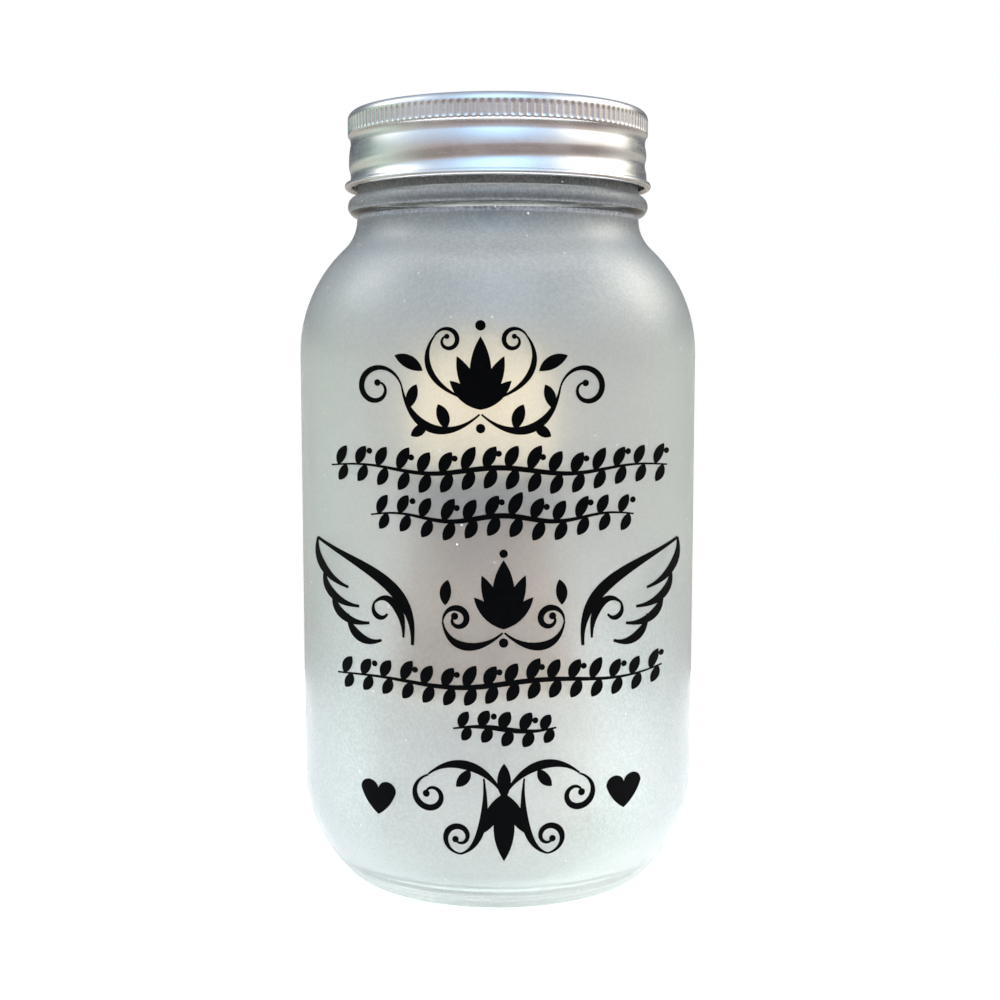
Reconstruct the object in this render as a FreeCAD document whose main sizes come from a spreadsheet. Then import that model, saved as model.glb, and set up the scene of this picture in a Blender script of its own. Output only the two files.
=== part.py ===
"""Mason jar lantern: a frosted quart jar with a two-piece screw lid, a printed front and a
battery lamp standing inside it.  Millimetres, +Z up, origin at the centre of the jar's base,
printed front towards -Y."""

import FreeCAD, Part
import math
import os
import re

import Sketcher

SIZES = {
    # jar
    "body_radius": 47.5, "glass_wall": 3.3, "heel_arc": 32.5, "heel_top": 24.0, "heel_foot": 1.6,
    "ring_outer": 35.8, "ring_inner": 30.5, "push_up": 2.2, "jar_floor": 5.0,
    "shoulder_foot": 125.0, "shoulder_arc": 34.0, "neck_radius": 33.7, "neck_arc": 9.6,
    "bead_foot": 157.3, "bead_top": 162.3, "bead_arc": 2.52,
    "finish_radius": 33.6, "mouth_radius": 30.4, "rim_top": 180.45, "rim_round": 1.4,
    # screw thread: both ridges climb one lead per turn
    "thread_lead": 5.6, "jar_ridge_path": 33.4, "jar_ridge_round": 1.1,
    "jar_ridge_low": 169.37, "jar_ridge_from": -150.0, "jar_ridge_sweep": 420.0,
    "band_ridge_path": 36.3, "band_groove_round": 1.8, "band_ridge_round": 2.25,
    "band_ridge_low": 167.0, "band_ridge_from": -180.0, "band_ridge_sweep": 370.0,
    # screw band
    "band_radius": 35.5, "band_sheet": 0.45, "band_top": 181.8, "band_opening": 28.3,
    "knurl_radius": 35.7, "knurl_top": 179.7, "knurl_foot": 176.3, "waist_foot": 174.2,
    "waist_radius": 35.2, "knurl_sheet": 0.8, "top_round": 1.9, "flute_count": 132,
    "flute_round": 0.72, "flute_depth": 0.36, "curl_centre": 164.55, "curl_round": 0.8,
    "curl_path": 35.75,
    # lid disc and its gasket
    "disc_radius": 34.2, "disc_sheet": 0.3, "disc_top": 181.32, "panel_top": 180.95,
    "panel_radius": 26.0, "button_radius": 12.0, "button_top": 181.25, "skirt_foot": 180.3,
    "gasket_inner": 30.9, "gasket_outer": 33.4, "gasket_foot": 180.48,
    # printed ink
    "ink_depth": 0.15,
    # lamp: heights are measured from the underside of its foot
    "lamp_offset": -4.0, "lamp_gap": 0.1, "lamp_wall": 1.6,
    "foot_radius": 29.3, "foot_top": 40.4, "foot_round": 2.6, "post_hole": 15.5,
    "plate_foot": 1.9, "plate_sheet": 2.0, "door_radius": 13.45, "lug_radius": 14.7,
    "door_foot": 2.1, "cell_radius": 5.15, "cell_length": 44.5, "cell_path": 6.6,
    "cell_foot": 6.0, "cell_bore": 5.45, "holder_radius": 13.8, "holder_top": 55.0,
    "skirt_radius": 23.0, "skirt_top": 54.5, "post_radius": 16.8, "post_foot": 67.0,
    "post_top": 81.4, "collar_radius": 20.5, "collar_top": 92.9, "globe_radius": 17.6,
    "globe_wall": 1.5, "globe_foot": 86.6, "globe_straight": 109.1,
    "board_foot": 86.0, "board_sheet": 1.2, "board_radius": 12.5,
    "boss_path": 22.5, "boss_radius": 2.8, "screw_radius": 1.1, "screw_reach": 10.0,
    "switch_path": 21.8, "switch_travel": 2.6, "wire_radius": 0.6,
}

doc = FreeCAD.newDocument("MasonJarLantern")
sheet = doc.addObject("Spreadsheet::Sheet", "Sizes")
for row, (alias, value) in enumerate(SIZES.items(), start=1):
    sheet.set(f"A{row}", alias)
    sheet.set(f"B{row}", str(value))
    sheet.setAlias(f"B{row}", alias)
doc.recompute()

nodes = []


# ---------------------------------------------------------------- helpers

def bound(text):
    """The expression text with the sheet's name in front of every alias."""
    return re.sub(r"\b([a-z]+_[a-z_]+)\b", r"Sizes.\1", str(text))


def number(text):
    """The value of an expression over the sheet's aliases."""
    value = sheet.evalExpression(bound(text))
    return float(getattr(value, "Value", value))


def bind(thing, **expressions):
    for name, text in expressions.items():
        thing.setExpression(name.replace("__", "."), bound(text))
    return thing


def keep(thing, name, lamp=False):
    """Name a finished sub-part, and stand it in the jar if it belongs to the lamp."""
    thing.Label = name
    if lamp:
        bind(thing, Placement__Base__x="lamp_offset", Placement__Base__z="jar_floor + lamp_gap")
    nodes.append(thing)
    return thing


def cylinder(name, radius, height, x=0, y=0, z=0):
    thing = doc.addObject("Part::Cylinder", name)
    return bind(thing, Radius=radius, Height=height, Placement__Base__x=x,
                Placement__Base__y=y, Placement__Base__z=z)


def box(name, length, width, height, x=0, y=0, z=0):
    """A box centred on x and y, standing on z."""
    thing = doc.addObject("Part::Box", name)
    return bind(thing, Length=length, Width=width, Height=height,
                Placement__Base__x=f"({x}) - ({length}) / 2",
                Placement__Base__y=f"({y}) - ({width}) / 2", Placement__Base__z=z)


def cone(name, low, high, height, x=0, y=0, z=0):
    thing = doc.addObject("Part::Cone", name)
    return bind(thing, Radius1=low, Radius2=high, Height=height, Placement__Base__x=x,
                Placement__Base__y=y, Placement__Base__z=z)


def cut(name, base, tool):
    thing = doc.addObject("Part::Cut", name)
    thing.Base, thing.Tool = base, tool
    return thing


def join(name, base, tool):
    thing = doc.addObject("Part::Fuse", name)
    thing.Base, thing.Tool = base, tool
    return thing


def fuse(name, *shapes):
    thing = doc.addObject("Part::MultiFuse", name)
    thing.Shapes = list(shapes)
    thing.Refine = True
    return thing


def common(name, base, tool):
    thing = doc.addObject("Part::Common", name)
    thing.Base, thing.Tool = base, tool
    return thing


def feature(name, shape):
    thing = doc.addObject("Part::Feature", name)
    thing.Shape = shape
    return thing


def origin_plane(body, role):
    return next(f for f in body.Origin.OriginFeatures if f.Role == role)


def outline(body, name, steps, role="XZ_Plane"):
    """A closed sketch.  A step is the point that an edge leaves from, as expressions, and for
    an arc also its radius and the side that its centre is on: +1 left of the way, -1 right."""
    sketch = body.newObject("Sketcher::SketchObject", name)
    sketch.AttachmentSupport = (origin_plane(body, role), [""])
    sketch.MapMode = "FlatFace"
    points = [FreeCAD.Vector(number(step[0]), number(step[1]), 0) for step in steps]
    ends = []
    for index, step in enumerate(steps):
        start, end = points[index], points[(index + 1) % len(steps)]
        if len(step) == 2:
            ends.append((sketch.addGeometry(Part.LineSegment(start, end)), 1, 2))
            continue
        radius, side = number(step[2]), step[3]
        chord = end - start
        left = FreeCAD.Vector(-chord.y, chord.x, 0) / chord.Length
        reach = math.sqrt(max(radius ** 2 - (chord.Length / 2) ** 2, 0))
        centre = (start + end) / 2 + left * reach * side
        first, last = (start, end) if side > 0 else (end, start)
        angles = [math.atan2(p.y - centre.y, p.x - centre.x) for p in (first, last)]
        circle = Part.Circle(centre, FreeCAD.Vector(0, 0, 1), radius)
        arc = sketch.addGeometry(Part.ArcOfCircle(circle, *angles))
        ends.append((arc, 1, 2) if side > 0 else (arc, 2, 1))
    constraints, texts = [], []
    for index, step in enumerate(steps):
        edge, start, end = ends[index]
        following = ends[(index + 1) % len(steps)]
        constraints.append(Sketcher.Constraint("Coincident", edge, end, following[0], following[1]))
        texts.append(None)
        for kind, axis, text, value in (("DistanceX", -2, step[0], points[index].x),
                                        ("DistanceY", -1, step[1], points[index].y)):
            if abs(value) < 1e-9:
                constraints.append(Sketcher.Constraint("PointOnObject", edge, start, axis))
                texts.append(None)
            else:
                constraints.append(Sketcher.Constraint(kind, -1, 1, edge, start, value))
                texts.append(text)
        if len(step) == 4:
            constraints.append(Sketcher.Constraint("Radius", edge, number(step[2])))
            texts.append(step[2])
    sketch.addConstraint(constraints)
    for index, text in enumerate(texts):
        if text is not None and "_" in str(text):
            sketch.setExpression(f"Constraints[{index}]", bound(text))
    return sketch


def turned(name, steps):
    """A body turned about Z from a closed outline of radius and height."""
    body = doc.addObject("PartDesign::Body", name)
    sketch = outline(body, name + "_outline", steps)
    turn = body.newObject("PartDesign::Revolution", name + "_turn")
    turn.Profile = sketch
    turn.ReferenceAxis = (sketch, ["V_Axis"])
    turn.Angle = 360
    sketch.Visibility = False
    return body


def on_circle(radius, degrees):
    angle = math.radians(degrees)
    return f"({radius}) * {math.cos(angle):.6f}", f"({radius}) * {math.sin(angle):.6f}"


def helical_rod(name, path, rod, low, start, sweep):
    """A round rod wound once round Z along the thread's lead, with a ball at each end."""
    path, rod, low = number(path), number(rod), number(low)
    start, sweep, lead = number(start), number(sweep), number("thread_lead")
    helix = Part.makeHelix(lead, lead * sweep / 360, path)
    slope = math.atan2(lead, 2 * math.pi * path)
    along = FreeCAD.Vector(0, math.cos(slope), math.sin(slope))
    section = Part.Wire(Part.makeCircle(rod, FreeCAD.Vector(path, 0, 0), along))
    solid = Part.Wire(helix.Edges).makePipeShell([section], True, True)
    climb = lead * sweep / 360
    end = FreeCAD.Vector(path * math.cos(math.radians(sweep)),
                         path * math.sin(math.radians(sweep)), climb)
    balls = [Part.makeSphere(rod, FreeCAD.Vector(path, 0, 0)), Part.makeSphere(rod, end)]
    solid = solid.multiFuse(balls)
    solid.rotate(FreeCAD.Vector(), FreeCAD.Vector(0, 0, 1), start)
    solid.translate(FreeCAD.Vector(0, 0, low))
    return feature(name, solid)


# ---------------------------------------------------------------- the jar

def shoulder_point(reach):
    """Where the shoulder and neck arcs meet, at the given distance from the shoulder's centre."""
    across = "(neck_radius + neck_arc - body_radius + shoulder_arc)"
    total = "(shoulder_arc + neck_arc)"
    climb = f"sqrt({total}^2 - {across}^2)"
    return (f"body_radius - shoulder_arc + {across} * ({reach}) / {total}",
            f"shoulder_foot + {climb} * ({reach}) / {total}",
            f"shoulder_foot + {climb}")


def glass_jar():
    outer_x, outer_z, neck_z = shoulder_point("shoulder_arc")
    inner_x, inner_z, neck_z = shoulder_point("shoulder_arc - glass_wall")
    heel_drop = "sqrt(heel_arc^2 - (heel_top - heel_foot)^2)"
    floor_corner = "(jar_floor + 2)"
    floor_reach = f"sqrt((heel_arc - glass_wall)^2 - (heel_top - {floor_corner})^2)"
    steps = [
        ("0", "push_up", "200", 1),
        ("ring_inner - 2", "push_up - 1.1"),
        ("ring_inner", "0"),
        ("ring_outer", "0", "3.4", 1),
        (f"body_radius - heel_arc + {heel_drop}", "heel_foot", "heel_arc", 1),
        ("body_radius", "heel_top"),
        ("body_radius", "shoulder_foot", "shoulder_arc", 1),
        (outer_x, outer_z, "neck_arc", -1),
        ("neck_radius", neck_z),
        ("neck_radius", "bead_foot", "bead_arc", 1),
        ("finish_radius", "bead_top"),
        ("finish_radius", "rim_top - rim_round", "rim_round", 1),
        ("finish_radius - rim_round", "rim_top"),
        ("mouth_radius + 1", "rim_top", "1", 1),
        ("mouth_radius", "rim_top - 1"),
        ("mouth_radius", neck_z, "neck_arc + glass_wall", 1),
        (inner_x, inner_z, "shoulder_arc - glass_wall", -1),
        ("body_radius - glass_wall", "shoulder_foot"),
        ("body_radius - glass_wall", "heel_top", "heel_arc - glass_wall", -1),
        (f"body_radius - heel_arc + {floor_reach}", floor_corner, "6", -1),
        ("ring_outer - 2", "jar_floor"),
        ("0", "jar_floor"),
    ]
    shell = turned("jar_shell", steps)
    ridge = helical_rod("jar_ridge", "jar_ridge_path", "jar_ridge_round", "jar_ridge_low",
                        "jar_ridge_from", "jar_ridge_sweep")
    keep(join("glass_jar", shell, ridge), "glass_jar")


# ---------------------------------------------------------------- the closure

def screw_band():
    """Roll-formed band: flat top flange, fluted grip, waist, threaded wall and rolled curl."""
    inner = "(band_radius - band_sheet)"
    grip = "(knurl_radius - knurl_sheet)"
    steps = [
        ("band_opening", "band_top - band_sheet"),
        (f"{grip} - 0.6", "band_top - band_sheet", "0.6", -1),
        (grip, "band_top - band_sheet - 0.6"),
        (grip, "knurl_foot"),
        ("waist_radius - band_sheet", "(knurl_foot + waist_foot) / 2"),
        (inner, "waist_foot - 0.4"),
        (inner, "curl_centre"),
        ("curl_path - curl_round", "curl_centre", "curl_round", 1),
        ("curl_path", "curl_centre - curl_round", "curl_round", 1),
        ("curl_path + curl_round", "curl_centre", "curl_round", 1),
        ("band_radius", "curl_centre + curl_round"),
        ("band_radius", "waist_foot - 0.3", "2.4", -1),
        ("knurl_radius - 0.3", "knurl_foot - 0.25"),
        ("knurl_radius", "knurl_foot"),
        ("knurl_radius", "band_top - top_round", "top_round", 1),
        ("knurl_radius - top_round", "band_top"),
        ("band_opening", "band_top"),
    ]
    blank = turned("band_blank", steps)
    ridge = helical_rod("band_ridge_rod", "band_ridge_path", "band_ridge_round",
                        "band_ridge_low", "band_ridge_from", "band_ridge_sweep")
    wall = cylinder("band_ridge_limit", "band_radius - band_sheet + 0.07", "band_top")
    ribbed = join("band_ribbed", blank, common("band_ridge", ridge, wall))
    groove = helical_rod("band_groove_rod", "band_ridge_path", "band_groove_round",
                         "band_ridge_low", "band_ridge_from", "band_ridge_sweep")
    grooved = cut("band_grooved", ribbed, groove)
    keep(cut("screw_band", grooved, flutes()), "screw_band")


def flutes():
    """Slim cones that run out at the grip's foot, so that every flute ends in a point."""
    rod, depth = number("flute_round"), number("flute_depth")
    foot, top = number("knurl_foot"), number("knurl_top")
    radius, count = number("knurl_radius"), int(number("flute_count"))
    length = top - foot
    flute = Part.makeCylinder(rod, length * 0.75)
    flute.translate(FreeCAD.Vector(radius + rod - depth, 0, foot + length * 0.3))
    run_out = Part.makeCone(0.05, rod, length * 0.3)
    run_out.translate(FreeCAD.Vector(radius + rod - depth, 0, foot))
    flute = flute.fuse(run_out).removeSplitter()
    copies = []
    for index in range(count):
        copy = flute.copy()
        copy.rotate(FreeCAD.Vector(), FreeCAD.Vector(0, 0, 1), 360 * index / count)
        copies.append(copy)
    return feature("flute_cutters", Part.makeCompound(copies))


def lid_disc():
    under = "(disc_top - disc_sheet)"
    panel_under = "(panel_top - disc_sheet)"
    button_under = "(button_top - disc_sheet)"
    steps = [
        ("0", button_under),
        ("button_radius - 3", button_under),
        ("button_radius", panel_under),
        ("panel_radius", panel_under),
        ("panel_radius + 1.2", under),
        ("disc_radius - disc_sheet", under),
        ("disc_radius - disc_sheet", "skirt_foot"),
        ("disc_radius", "skirt_foot"),
        ("disc_radius", "disc_top - 0.4", "0.4", 1),
        ("disc_radius - 0.4", "disc_top"),
        ("panel_radius + 1", "disc_top"),
        ("panel_radius - 0.2", "panel_top"),
        ("button_radius + 0.2", "panel_top"),
        ("button_radius - 2.8", "button_top"),
        ("0", "button_top"),
    ]
    keep(turned("lid_disc", steps), "lid_disc")


def lid_gasket():
    top = "(disc_top - disc_sheet)"
    steps = [
        ("gasket_inner", top),
        ("gasket_inner", "gasket_foot + 0.2", "0.2", 1),
        ("gasket_inner + 0.2", "gasket_foot"),
        ("gasket_outer - 0.2", "gasket_foot", "0.2", 1),
        ("gasket_outer", "gasket_foot + 0.2"),
        ("gasket_outer", top),
    ]
    keep(turned("lid_gasket", steps), "lid_gasket")


# ---------------------------------------------------------------- the lamp's shells

def foot_housing():
    """Upturned cup with three screw bosses and a short collar that centres the post."""
    inside = "(foot_radius - lamp_wall)"
    roof = "(foot_top - lamp_wall)"
    steps = [
        (inside, "0.3"),
        (f"{inside} + 0.3", "0"),
        ("foot_radius - 0.6", "0", "0.6", 1),
        ("foot_radius", "0.6"),
        ("foot_radius", "foot_top - foot_round", "foot_round", 1),
        ("foot_radius - foot_round", "foot_top"),
        ("post_hole + 1.4", "foot_top"),
        ("post_hole + 1.4", "foot_top + 3.5"),
        ("post_hole", "foot_top + 3.5"),
        ("post_hole", roof),
        (f"{inside} - 1.2", roof, "1.2", -1),
        (inside, f"{roof} - 1.2"),
    ]
    solids = [turned("foot_shell", steps)]
    holes = []
    for index in range(3):
        x, y = on_circle("boss_path", 60 + 120 * index)
        solids.append(cylinder(f"foot_boss_{index + 1}", "boss_radius",
                               f"{roof} - plate_foot - plate_sheet + 0.4", x, y,
                               "plate_foot + plate_sheet"))
        holes.append(cylinder(f"foot_boss_hole_{index + 1}", "screw_radius + 0.05",
                              "screw_reach", x, y, "plate_foot + plate_sheet - 1"))
    body = cut("foot_housing", fuse("foot_solid", *solids), fuse("foot_boss_holes", *holes))
    keep(body, "foot_housing", lamp=True)


def post_sleeve():
    """Brown post: a wide skirt that draws in to a straight neck, with turned rings."""
    steps = [
        ("skirt_radius - lamp_wall", "foot_top"),
        ("skirt_radius", "foot_top"),
        ("skirt_radius", "foot_top + 3"),
        ("skirt_radius - 0.7", "foot_top + 3.8"),
        ("skirt_radius - 0.7", "skirt_top", "14", 1),
        ("post_radius + 1.6", "post_foot - 2", "4", -1),
        ("post_radius", "post_foot + 1"),
        ("post_radius", "post_top"),
        ("post_radius - lamp_wall", "post_top"),
        ("post_radius - lamp_wall", "post_foot", "4", 1),
        ("post_radius + 0.2", "post_foot - 3.4", "14", -1),
        ("skirt_radius - lamp_wall - 0.7", "skirt_top - 1"),
        ("skirt_radius - lamp_wall - 0.7", "foot_top + 3"),
    ]
    keep(turned("post_sleeve", steps), "post_sleeve", lamp=True)


def lamp_collar():
    """Dark cup on the post that seats the globe and carries the circuit board."""
    seat = "(globe_radius + 0.15)"
    floor = "(post_top + 1.8)"
    steps = [
        ("4", "post_top"),
        ("post_radius - lamp_wall - 1.9", "post_top"),
        ("post_radius - lamp_wall - 1.9", "post_top - 4"),
        ("post_radius - lamp_wall - 0.2", "post_top - 4"),
        ("post_radius - lamp_wall - 0.2", "post_top"),
        ("collar_radius - 1.4", "post_top", "1.4", 1),
        ("collar_radius", "post_top + 1.4"),
        ("collar_radius", "post_top + 4.2"),
        ("collar_radius - 0.5", "post_top + 4.6"),
        ("collar_radius - 0.5", "collar_top - 3.4"),
        ("collar_radius", "collar_top - 3"),
        ("collar_radius", "collar_top - 1.2", "1.2", 1),
        ("collar_radius - 1.2", "collar_top"),
        (f"{seat} + 0.3", "collar_top"),
        (seat, "collar_top - 0.4"),
        (seat, "globe_foot - 0.1"),
        (f"{seat} - 1.9", "globe_foot - 0.1"),
        (f"{seat} - 1.9", floor),
        ("4", floor),
    ]
    shell = turned("collar_shell", steps)
    posts = []
    for index in range(3):
        x, y = on_circle("board_radius - 2.4", 90 + 120 * index)
        posts.append(cylinder(f"collar_post_{index + 1}", "1.5",
                              "board_foot - post_top - 1.8 + 0.4", x, y, f"{floor} - 0.4"))
    keep(fuse("lamp_collar", shell, *posts), "lamp_collar", lamp=True)


def globe():
    """Frosted diffuser: a straight drum closed by a half-round dome."""
    inside = "(globe_radius - globe_wall)"
    steps = [
        (inside, "globe_foot"),
        ("globe_radius", "globe_foot"),
        ("globe_radius", "globe_straight", "globe_radius", 1),
        ("0", "globe_straight + globe_radius"),
        ("0", f"globe_straight + {inside}", inside, -1),
        (inside, "globe_straight"),
    ]
    keep(turned("globe", steps), "globe", lamp=True)


def bottom_plate():
    """Round plate with a bayonet opening, a switch slot and three countersunk screw holes."""
    disc = cylinder("plate_disc", "foot_radius - lamp_wall - 0.1", "plate_sheet",
                    z="plate_foot")
    tools = [cylinder("plate_opening", "door_radius + 0.15", "plate_sheet + 2",
                      z="plate_foot - 1")]
    for index in range(3):
        notch = box(f"plate_notch_{index + 1}", "2 * (lug_radius + 0.3)", "6.4",
                    "plate_sheet + 2", z="plate_foot - 1")
        half = box(f"plate_notch_half_{index + 1}", "lug_radius + 1", "8", "plate_sheet + 4",
                   x="(lug_radius + 1) / 2", z="plate_foot - 2")
        limit = cylinder(f"plate_notch_limit_{index + 1}", "lug_radius + 0.3",
                         "plate_sheet + 2", z="plate_foot - 1")
        sector = common(f"plate_notch_sector_{index + 1}",
                        common(f"plate_notch_arm_{index + 1}", notch, half), limit)
        bind(sector, Placement__Rotation__Angle=f"{30 + 120 * index}")
        tools.append(sector)
        x, y = on_circle("boss_path", 60 + 120 * index)
        tools.append(cylinder(f"plate_hole_{index + 1}", "screw_radius + 0.2",
                              "plate_sheet + 2", x, y, "plate_foot - 1"))
        tools.append(cone(f"plate_countersink_{index + 1}", "2.2", "1.3", "1.1", x, y,
                          "plate_foot - 0.02"))
    tools.append(box("plate_slot", "2.6", "6.4", "plate_sheet + 2", x="switch_path",
                     z="plate_foot - 1"))
    keep(cut("bottom_plate", disc, fuse("plate_tools", *tools)), "bottom_plate", lamp=True)


def base_screws():
    """Three countersunk screws that hold the bottom plate to the housing's bosses."""
    solids = []
    for index in range(3):
        x, y = on_circle("boss_path", 60 + 120 * index)
        head = cone(f"screw_head_{index + 1}", "2.05", "screw_radius", "1", x, y, "plate_foot")
        shank = cylinder(f"screw_shank_{index + 1}", "screw_radius", "screw_reach - 2", x, y,
                         "plate_foot + 0.5")
        across = box(f"screw_cross_{index + 1}", "2.4", "0.5", "0.6", x, y, "plate_foot - 0.1")
        along = box(f"screw_recess_{index + 1}", "0.5", "2.4", "0.6", x, y, "plate_foot - 0.1")
        solids.append(cut(f"screw_{index + 1}", fuse(f"screw_solid_{index + 1}", head, shank),
                          fuse(f"screw_drive_{index + 1}", across, along)))
    keep(fuse("base_screws", *solids), "base_screws", lamp=True)


# ---------------------------------------------------------------- batteries and contacts

def battery_holder():
    """Three-cell holder: flange on the plate, room for the door's lugs, and three bores."""
    flange = cylinder("holder_flange", "18", "1.6", z="plate_foot + plate_sheet")
    drum = cylinder("holder_drum", "16.6", "4", z="plate_foot + plate_sheet")
    tube = cylinder("holder_tube", "holder_radius", "holder_top - plate_foot - plate_sheet",
                    z="plate_foot + plate_sheet")
    tools = [cylinder("holder_room", "lug_radius + 0.4", "2", z="plate_foot + plate_sheet")]
    for index in range(3):
        x, y = on_circle("cell_path", 90 + 120 * index)
        tools.append(cylinder(f"holder_bore_{index + 1}", "cell_bore",
                              "holder_top - 1.5 - plate_foot - plate_sheet", x, y,
                              "plate_foot + plate_sheet"))
    keep(cut("battery_holder", fuse("holder_solid", flange, drum, tube),
             fuse("holder_tools", *tools)), "battery_holder", lamp=True)


def battery(index, nub_up):
    """One small cylindrical cell with its raised positive end."""
    can = "(cell_length - 0.9)"
    foot = "cell_foot" if nub_up else "cell_foot + 0.9"
    nub_foot = f"cell_foot + {can}" if nub_up else "cell_foot"
    steps = [("0", "0"), ("cell_radius - 0.5", "0", "0.5", 1), ("cell_radius", "0.5"),
             ("cell_radius", f"{can} - 0.5", "0.5", 1), ("cell_radius - 0.5", can), ("0", can)]
    name = f"battery_{index + 1}"
    case = turned(name + "_can", steps)
    nub = cylinder(name + "_nub", "1.9", "0.9")
    x, y = on_circle("cell_path", 90 + 120 * index)
    bind(case, Placement__Base__x=x, Placement__Base__y=y, Placement__Base__z=foot)
    bind(nub, Placement__Base__x=x, Placement__Base__y=y, Placement__Base__z=nub_foot)
    keep(fuse(name, case, nub), name, lamp=True)


def contact_springs():
    """Bowed leaf springs that hang from the top contact, one on each cell."""
    foot = number("cell_foot + cell_length") + 0.1
    half, strip, width, height = 4.0, 0.25, 4.4, 2.5
    springs = []
    for index in range(3):
        def place(across, up):
            return FreeCAD.Vector(across, -width / 2, foot + up)
        low = Part.Arc(place(-half, height), place(0, 0), place(half, height)).toShape()
        high = Part.Arc(place(half - strip, height), place(0, strip),
                        place(strip - half, height)).toShape()
        ends = [Part.LineSegment(place(half, height), place(half - strip, height)).toShape(),
                Part.LineSegment(place(strip - half, height), place(-half, height)).toShape()]
        face = Part.Face(Part.Wire([low, ends[0], high, ends[1]]))
        spring = face.extrude(FreeCAD.Vector(0, width, 0))
        angle = 90 + 120 * index
        path = number("cell_path")
        spring.rotate(FreeCAD.Vector(), FreeCAD.Vector(0, 0, 1), angle + 90)
        spring.translate(FreeCAD.Vector(path * math.cos(math.radians(angle)),
                                        path * math.sin(math.radians(angle)), 0))
        springs.append(spring)
    keep(feature("contact_springs", Part.makeCompound(springs)), "contact_springs", lamp=True)


def contact_plates():
    """The top contact in the holder's roof and the door's contact, both thin sprung metal."""
    top = cylinder("top_contact_disc", "holder_radius - 2.2", "0.35",
                   z="cell_foot + cell_length + 2.6")
    pads = []
    for index in range(3):
        x, y = on_circle("cell_path", 90 + 120 * index)
        pads.append(cylinder(f"top_contact_pad_{index + 1}", "cell_bore - 0.3", "0.35", x, y,
                             "cell_foot + cell_length + 2.6"))
    keep(common("top_contact", top, fuse("top_contact_pads", *pads)), "top_contact", lamp=True)
    disc = cylinder("door_contact_disc", "11.6", "0.4", z="cell_foot - 0.6")
    hole = cylinder("door_contact_hole", "1.6", "2", z="cell_foot - 1.4")
    keep(cut("door_contact", disc, hole), "door_contact", lamp=True)


def battery_door():
    """Twist-lock door: outer disc, three lugs behind the plate and a raised finger bar."""
    disc = cylinder("door_disc", "door_radius", "plate_foot + plate_sheet + 0.1 - door_foot",
                    z="door_foot")
    core = cylinder("door_core", "door_radius - 0.6", "1.4", z="plate_foot + plate_sheet + 0.1")
    solids = [disc, core]
    for index in range(3):
        arm = box(f"door_arm_{index + 1}", "2 * lug_radius", "5.4", "1.2",
                  z="plate_foot + plate_sheet + 0.1")
        half = box(f"door_half_{index + 1}", "lug_radius + 1", "8", "4", x="(lug_radius + 1) / 2",
                   z="plate_foot + plate_sheet - 1")
        limit = cylinder(f"door_limit_{index + 1}", "lug_radius", "4",
                         z="plate_foot + plate_sheet - 1")
        lug = common(f"door_lug_{index + 1}", common(f"door_reach_{index + 1}", arm, half), limit)
        bind(lug, Placement__Rotation__Angle=f"{120 * index}")
        solids.append(lug)
    solids.append(box("door_bar", "18", "2.2", "1.1", z="door_foot - 0.9"))
    keep(fuse("battery_door", *solids), "battery_door", lamp=True)


# ---------------------------------------------------------------- switch, board, LED and wires

def switch():
    """Slide switch behind the plate, and its knob at the end of its travel that is on."""
    case = box("switch_case", "6", "10", "5", x="switch_path", z="plate_foot + plate_sheet")
    room = box("switch_room", "3.2", "6.8", "2.8", x="switch_path", z="plate_foot + plate_sheet")
    keep(cut("switch_body", case, room), "switch_body", lamp=True)
    stem = box("knob_stem", "2.2", "2.6", "4.4", x="switch_path", y="-switch_travel / 2",
               z="plate_foot - 0.6")
    shoe = box("knob_shoe", "2.9", "3.8", "1", x="switch_path", y="-switch_travel / 2",
               z="plate_foot + plate_sheet + 0.3")
    keep(fuse("switch_knob", stem, shoe), "switch_knob", lamp=True)


def circuit_board():
    disc = cylinder("board_disc", "board_radius", "board_sheet", z="board_foot")
    holes = []
    for index, (x, y) in enumerate([(2.2, 2.4), (-2.2, -2.4), (9.5, 0)]):
        holes.append(cylinder(f"board_hole_{index + 1}", "0.5", "board_sheet + 2", x, y,
                              "board_foot - 1"))
    keep(cut("circuit_board", disc, fuse("board_holes", *holes)), "circuit_board", lamp=True)
    top = "board_foot + board_sheet"
    chip = box("board_chip", "4.9", "3.9", "1.5", x="-7", y="4.5", z=top)
    drop = box("board_resistor", "3.2", "1.6", "0.6", x="6.5", y="5.5", z=top)
    cap = cylinder("board_capacitor", "2", "4.6", "6.5", "-5.5", top)
    keep(fuse("board_components", chip, drop, cap), "board_components", lamp=True)


def led():
    top = "(board_foot + board_sheet)"
    steps = [("0", top), ("2.9", top), ("2.9", f"{top} + 1"), ("2.5", f"{top} + 1"),
             ("2.5", f"{top} + 6.1", "2.5", 1), ("0", f"{top} + 8.6")]
    keep(turned("led", steps), "led", lamp=True)


def wire(name, route):
    """A wire along straight runs joined by tangent arcs, each arc as large as its runs allow."""
    points = [FreeCAD.Vector(*point) for point in route]
    edges, last = [], points[0]
    for before, corner, after in zip(points, points[1:], points[2:]):
        back, ahead = (before - corner), (after - corner)
        turn = math.pi - back.getAngle(ahead)
        reach = 0.45 * min(back.Length, ahead.Length)
        start = corner + back.normalize() * reach
        end = corner + ahead.normalize() * reach
        bisector = (back + ahead).normalize()
        radius = reach / math.tan(turn / 2)
        middle = corner + bisector * (radius / math.cos(turn / 2) - radius)
        edges.append(Part.LineSegment(last, start).toShape())
        edges.append(Part.Arc(start, middle, end).toShape())
        last = end
    edges.append(Part.LineSegment(last, points[-1]).toShape())
    radius = number("wire_radius")
    section = Part.Wire(Part.makeCircle(radius, points[0], points[1] - points[0]))
    solid = Part.Wire(edges).makePipeShell([section], True, True)
    keep(feature(name, solid), name, lamp=True)


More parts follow.
